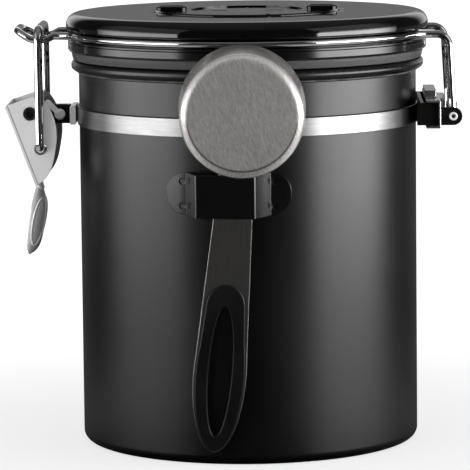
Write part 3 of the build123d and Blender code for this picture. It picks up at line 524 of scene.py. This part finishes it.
def break_edges(name, width):
    """Small round along a piece's sharp edges, whose corners are joined first."""
    joined = nodes[name].modifiers.new("joined_corners", "WELD")
    joined.merge_threshold = corner_gap
    modifier = nodes[name].modifiers.new("broken_edge", "BEVEL")
    modifier.use_clamp_overlap = False
    modifier.width = width
    modifier.segments = 2
    modifier.limit_method = "ANGLE"
    modifier.angle_limit = radians(35)


break_edges("latch_bracket", strap_edge)
break_edges("latch_keeper", plate_edge)
break_edges("hinge_bracket", strap_edge)
break_edges("hinge_keeper", strap_edge)


# Printed numbers on the two dials; the day dial's flat lies above the month dial's

day_rise = 0.5 * MM
day_radius = 23.2 * MM
day_height = 2.3 * MM
month_radius = 15.4 * MM
month_height = 2.9 * MM
print_thickness = 0.02 * MM
print_lift = 0.01 * MM


def number_ring(name, body, count, radius, height, top):
    """Numbers from 1 to count round the lid's axis, read from outside, as one thin mesh."""
    vertices = []
    faces = []
    for index in range(count):
        text = bpy.data.curves.new(f"{name}_{index}", "FONT")
        text.body = str(index + 1)
        text.size = height
        text.align_x = "CENTER"
        text.align_y = "CENTER"
        text.extrude = print_thickness
        text.resolution_u = 3
        holder = bpy.data.objects.new(text.name, text)
        mesh = bpy.data.meshes.new_from_object(holder)
        angle = -2 * pi * index / count
        place = Matrix.Rotation(angle, 4, "Z") @ Matrix.Translation((0, -radius, top))
        start = len(vertices)
        vertices += [place @ vertex.co for vertex in mesh.vertices]
        faces += [[start + corner for corner in face.vertices] for face in mesh.polygons]
        bpy.data.objects.remove(holder)
        bpy.data.meshes.remove(mesh)
        bpy.data.curves.remove(text)
    mesh = bpy.data.meshes.new(name)
    mesh.from_pydata(vertices, [], faces)
    mesh.materials.append(dial_print)
    ring = add_object(name, mesh)
    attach(ring, body)


month_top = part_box("month_dial")[1].z
day_top = month_top + day_rise
number_ring("day_numbers", "day_ring", 31, day_radius, day_height, day_top + print_lift)
number_ring("month_numbers", "month_disc", 12, month_radius, month_height, month_top + print_lift)


# Punched ends of the bail wire, which hold it in the ears of the hinge

def wire_ends(name, body, centre, reach):
    """Rolled ring with a punched hollow on each end of a wire that lies along Y."""
    outer = 1.75 * MM
    hole = 0.75 * MM
    proud = 0.35 * MM
    bend_share = 0.3
    crown_start_share = 1.25
    crown_end_share = 0.8
    profile = [
        (hole, 0.0), (hole, proud * bend_share), (hole * crown_start_share, proud),
        (outer * crown_end_share, proud), (outer, 0.0)]
    rows = len(profile)
    steps = 32
    vertices = []
    faces = []
    for side in (-1, 1):
        start = len(vertices)
        for step in range(steps):
            turn = 2 * pi * step / steps
            for radius, height in profile:
                vertices.append((
                    centre.x + radius * cos(turn), side * (reach + height), centre.z + radius * sin(turn)))
        for step in range(steps):
            after = (step + 1) % steps
            for row in range(rows):
                beyond = (row + 1) % rows
                face = [start + step * rows + row, start + step * rows + beyond,
                        start + after * rows + beyond, start + after * rows + row]
                faces.append(face if side > 0 else face[::-1])
    mesh = bpy.data.meshes.new(name)
    mesh.from_pydata(vertices, [], faces)
    mesh.shade_smooth()
    mesh.materials.append(plate_steel)
    rings = add_object(name, mesh)
    smooth = rings.modifiers.new("rolled", "SUBSURF")
    smooth.levels = 2
    smooth.render_levels = 2
    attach(rings, body)


wire_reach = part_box("hinge_bracket")[1].y
wire_ends("bail_wire_ends", "lid", joint_place("lid_hinge"), wire_reach)


# Softboxes left and right of the canister

def softbox(name, azimuth, radiance, top_share):
    """Large area light that faces the canister; azimuth 0 is the camera's side, -Y.

    Radiance is that of its surface, which dims to top_share upwards and to back_share backwards."""
    width = 0.98
    height = 1.1
    distance = 0.8
    rise = 0.18
    aim_height = 0.08
    upward_span = (0.16, 0.28)
    backward_span = (-0.12, 0.34)
    back_share = 0.03
    data = bpy.data.lights.new(name, "AREA")
    data.shape = "RECTANGLE"
    data.size = width
    data.size_y = height
    data.energy = radiance * width * height * pi
    data.use_nodes = True
    tree = data.node_tree
    axes = split_axes(tree, tree.nodes.new("ShaderNodeNewGeometry").outputs["Position"])
    upwards = eased(tree, axes["Z"], upward_span, (1.0, top_share))
    backwards = eased(tree, axes["Y"], backward_span, (1.0, back_share))
    strength = link_math(tree, "MULTIPLY", upwards, backwards)
    tree.links.new(strength, tree.nodes["Emission"].inputs["Strength"])
    turn_to = radians(azimuth)
    toward = Vector((sin(turn_to), -cos(turn_to), rise)).normalized()
    light = add_object(name, data)
    light.location = Vector((0, 0, aim_height)) + toward * distance
    light.rotation_mode = "QUATERNION"
    light.rotation_quaternion = toward.to_track_quat("Z", "Y")


softbox("softbox_left", azimuth=-73, radiance=6.1, top_share=0.08)
softbox("softbox_right", azimuth=75.5, radiance=12.0, top_share=0.06)


# Room round the canister

def straight_ray(tree, path):
    """1 for rays that the camera sees directly or through something clear."""
    return link_math(tree, "MAXIMUM", path["Is Camera Ray"], path["Is Transmission Ray"])


def background(tree, level):
    """Grey background of a number or an output."""
    made = tree.nodes.new("ShaderNodeBackground")
    if isinstance(level, float):
        made.inputs["Color"].default_value = (*grey(level), 1)
    else:
        tree.links.new(level, made.inputs["Color"])
    return made.outputs[0]


def mixed_shader(tree, share, first, second):
    """First shader where share is 0, second where it is 1."""
    made = tree.nodes.new("ShaderNodeMixShader")
    for socket, source in zip(made.inputs, (share, first, second)):
        tree.links.new(source, socket)
    return made.outputs[0]


def room():
    """World that is white to the camera, a graded studio to glossy rays and one level to diffuse rays.

    The studio is dark on the camera's side and palest behind the canister on both sides of it."""
    wall_begins = (0.76, 0.94)
    wall_ends = (0.96, 0.995)
    front_level = 0.03
    middle_share = 0.2
    ceiling_span = (0.45, 0.95)
    ceiling_level = 0.15
    fill_level = 0.76
    world = bpy.data.worlds.new("studio")
    bpy.context.scene.world = world
    tree = emptied(world)
    path = tree.nodes.new("ShaderNodeLightPath").outputs
    axes = split_axes(tree, texture_place(tree, "Generated"))
    walls = between(tree, axes["Y"], wall_begins, wall_ends, before=front_level, after=middle_share)
    ceiling = eased(tree, axes["Z"], ceiling_span, (0.0, ceiling_level))
    studio = background(tree, link_math(tree, "ADD", walls, ceiling))
    lit = mixed_shader(tree, path["Is Diffuse Ray"], studio, background(tree, fill_level))
    seen = mixed_shader(tree, straight_ray(tree, path), lit, background(tree, 1.0))
    out = tree.nodes.new("ShaderNodeOutputWorld")
    tree.links.new(seen, out.inputs[0])


room()


# Paper floor

def floor_paper():
    """Paper that glows white to the camera; its spans are in metres from the canister's axis.

    In reflections it is pale at the canister's two sides and dark further out and in front."""
    behind_span = (0.1, 0.5)
    behind_level = 0.12
    far_span = (0.09, 0.4)
    far_levels = (0.7, 0.97)
    paper_levels = (0.23, 0.25)
    beside_span = (0.03, 0.14)
    beside_shares = (0.06, 2.2)
    outward_span = (0.14, 0.45)
    outward_share = 0.1
    backward_span = (-0.06, 0.1)
    backward_share = 0.25
    mat = bpy.data.materials.new("floor_paper")
    tree = emptied(mat)
    path = tree.nodes.new("ShaderNodeLightPath").outputs
    where = texture_place(tree, "Object")
    axes = split_axes(tree, where)
    length = node(tree, "ShaderNodeVectorMath", operation="LENGTH")
    tree.links.new(where, length.inputs[0])
    from_centre = length.outputs["Value"]

    behind = eased(tree, axes["Y"], behind_span, (0.0, behind_level))
    mirrored_glow = link_math(tree, "MULTIPLY", path["Is Glossy Ray"], behind)
    glowing = link_math(tree, "MAXIMUM", straight_ray(tree, path), mirrored_glow)
    far = eased(tree, from_centre, far_span, far_levels)
    glow = tree.nodes.new("ShaderNodeEmission")
    tree.links.new(link_math(tree, "MULTIPLY", glowing, far), glow.inputs["Strength"])

    fibres = noise(tree, scale=300.0, detail=2.0, rough=0.5)
    paper_tone = ramp(tree, fibres, *paper_levels, span=WHOLE)
    beside = eased(tree, link_math(tree, "ABSOLUTE", axes["X"]), beside_span, beside_shares)
    near = eased(tree, from_centre, outward_span, (1.0, outward_share))
    forward = eased(tree, axes["Y"], backward_span, (1.0, backward_share))
    pale = link_math(tree, "MULTIPLY", link_math(tree, "MULTIPLY", beside, near), forward)
    mirrored_tone = link_math(tree, "MULTIPLY", paper_tone, pale)
    tone = blended(tree, path["Is Glossy Ray"], paper_tone, mirrored_tone)
    paper = tree.nodes.new("ShaderNodeBsdfDiffuse")
    tree.links.new(tone, paper.inputs["Color"])

    both = tree.nodes.new("ShaderNodeAddShader")
    out = tree.nodes.new("ShaderNodeOutputMaterial")
    tree.links.new(paper.outputs[0], both.inputs[0])
    tree.links.new(glow.outputs[0], both.inputs[1])
    tree.links.new(both.outputs[0], out.inputs[0])
    return mat


floor_half = 6.0
floor_corners = [(x * floor_half, y * floor_half, 0) for x, y in ((-1, -1), (1, -1), (1, 1), (-1, 1))]
floor_mesh = bpy.data.meshes.new("floor")
floor_mesh.from_pydata(floor_corners, [], [(0, 1, 2, 3)])
floor_mesh.materials.append(floor_paper())
floor = add_object("floor", floor_mesh)


# Camera at the photograph's viewpoint

camera_distance = 1.3
camera_height = 0.242722
camera_turn = radians(1.0)
camera_pitch = radians(90 - 7.332)
camera_roll = radians(-0.584)
camera_place = (camera_distance * sin(camera_turn), -camera_distance * cos(camera_turn), camera_height)
camera_data = bpy.data.cameras.new("camera")
camera_data.sensor_width = 36.0
camera_data.lens = 268.82
camera_data.shift_x = -0.0297
camera_data.clip_start = 0.1
camera_data.clip_end = 20.0
camera = add_object("camera", camera_data)
camera.matrix_world = (
    Matrix.Translation(camera_place)
    @ Matrix.Rotation(camera_turn, 4, "Z")
    @ Matrix.Rotation(camera_pitch, 4, "X")
    @ Matrix.Rotation(camera_roll, 4, "Z"))
bpy.context.scene.camera = camera

bpy.context.scene.view_settings.view_transform = "Standard"

bpy.context.view_layer.update()
